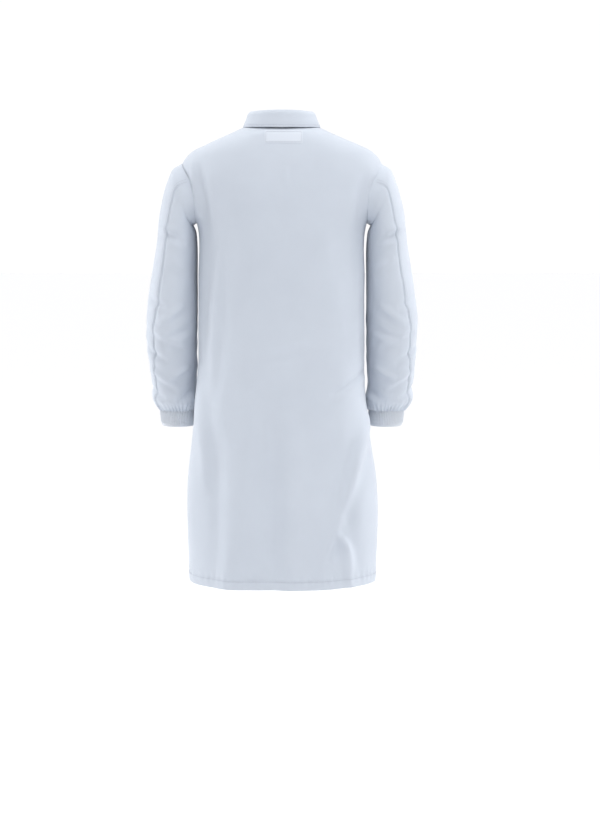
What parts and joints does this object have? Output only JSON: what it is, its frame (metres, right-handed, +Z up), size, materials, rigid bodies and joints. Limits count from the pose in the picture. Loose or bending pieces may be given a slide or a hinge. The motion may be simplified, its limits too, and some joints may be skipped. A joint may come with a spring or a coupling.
{
  "type": "lab coat",
  "caption": "Knee-length white cloth lab coat with a laydown collar, set-in sleeves, knit cuffs, patch pockets and a snap front.",
  "frame": {"origin": "middle of the neck seam at the back, where the coat bears on the wearer's neck", "axes": "+Z up, -Y the coat's front, +X the wearer's left"},
  "size_m": [0.616, 0.2925, 1.0606],
  "materials": {
    "twill": "matte cotton-polyester twill",
    "knit": "matte rib knit",
    "label": "plain woven satin label",
    "tape": "woven cotton tape",
    "snap_cap": "white enamelled cap",
    "snap_metal": "nickel-plated brass"
  },
  "bodies": {
    "root": {"back_panel": "twill", "left_front_panel": "twill", "right_front_panel": "twill", "back_hem": "twill", "left_placket": "twill", "right_placket": "twill", "left_front_facing": "twill", "right_front_facing": "twill", "chest_pocket": "twill", "collar_stand": "twill", "under_collar": "twill", "upper_collar": "twill", "back_neck_facing": "twill", "neck_label": "label", "left_sleeve_cap": "twill", "right_sleeve_cap": "twill", "snap_caps_upper": "snap_cap", "snap_sockets_upper": "snap_metal", "snap_studs_upper": "snap_metal", "snap_rings_upper": "snap_metal"},
    "hanger_loop": {"hanger_loop": "tape"},
    "left_skirt": {"left_front_skirt": "twill", "left_skirt_placket": "twill", "left_skirt_hem": "twill", "left_hip_pocket": "twill", "snap_caps_lower": "snap_cap", "snap_sockets_lower": "snap_metal"},
    "right_skirt": {"right_front_skirt": "twill", "right_skirt_placket": "twill", "right_skirt_hem": "twill", "right_hip_pocket": "twill", "snap_studs_lower": "snap_metal", "snap_rings_lower": "snap_metal"},
    "left_upper_arm": {"left_upper_sleeve_outer": "twill", "left_upper_sleeve_under": "twill", "left_elbow_fold": "twill"},
    "left_forearm": {"left_fore_sleeve_outer": "twill", "left_fore_sleeve_under": "twill", "left_knit_cuff": "knit"},
    "right_upper_arm": {"right_upper_sleeve_outer": "twill", "right_upper_sleeve_under": "twill", "right_elbow_fold": "twill"},
    "right_forearm": {"right_fore_sleeve_outer": "twill", "right_fore_sleeve_under": "twill", "right_knit_cuff": "knit"}
  },
  "joints": [
    {"name": "left_shoulder_raise", "type": "hinge", "parent": "root", "child": "left_upper_arm", "pos_m": [0.195, -0.012, -0.13], "axis": [0, -1, 0], "range_deg": [0, 90], "deforming": ["left_sleeve_cap"]},
    {"name": "left_elbow_bend", "type": "hinge", "parent": "left_upper_arm", "child": "left_forearm", "pos_m": [0.248, -0.048, -0.45], "axis": [-1, 0, 0], "range_deg": [0, 105], "deforming": ["left_elbow_fold"]},
    {"name": "right_shoulder_raise", "type": "hinge", "parent": "root", "child": "right_upper_arm", "pos_m": [-0.195, -0.012, -0.13], "axis": [0, 1, 0], "range_deg": [0, 90], "deforming": ["right_sleeve_cap"]},
    {"name": "right_elbow_bend", "type": "hinge", "parent": "right_upper_arm", "child": "right_forearm", "pos_m": [-0.248, -0.048, -0.45], "axis": [-1, 0, 0], "range_deg": [0, 105], "deforming": ["right_elbow_fold"]},
    {"name": "left_skirt_open", "type": "hinge", "parent": "root", "child": "left_skirt", "pos_m": [0.16, -0.084, -0.45], "axis": [0, 0, 1], "range_deg": [0, 55]},
    {"name": "right_skirt_open", "type": "hinge", "parent": "root", "child": "right_skirt", "pos_m": [-0.16, -0.084, -0.45], "axis": [0, 0, -1], "range_deg": [0, 33]},
    {"name": "hanger_loop_flip", "type": "hinge", "parent": "root", "child": "hanger_loop", "pos_m": [0, 0.0574, -0.006], "axis": [-1, 0, 0], "range_deg": [0, 140]}
  ],
  "couplings": [
    {"joint": "right_skirt_open", "follows": "left_skirt_open", "ratio": 0.6}
  ]
}
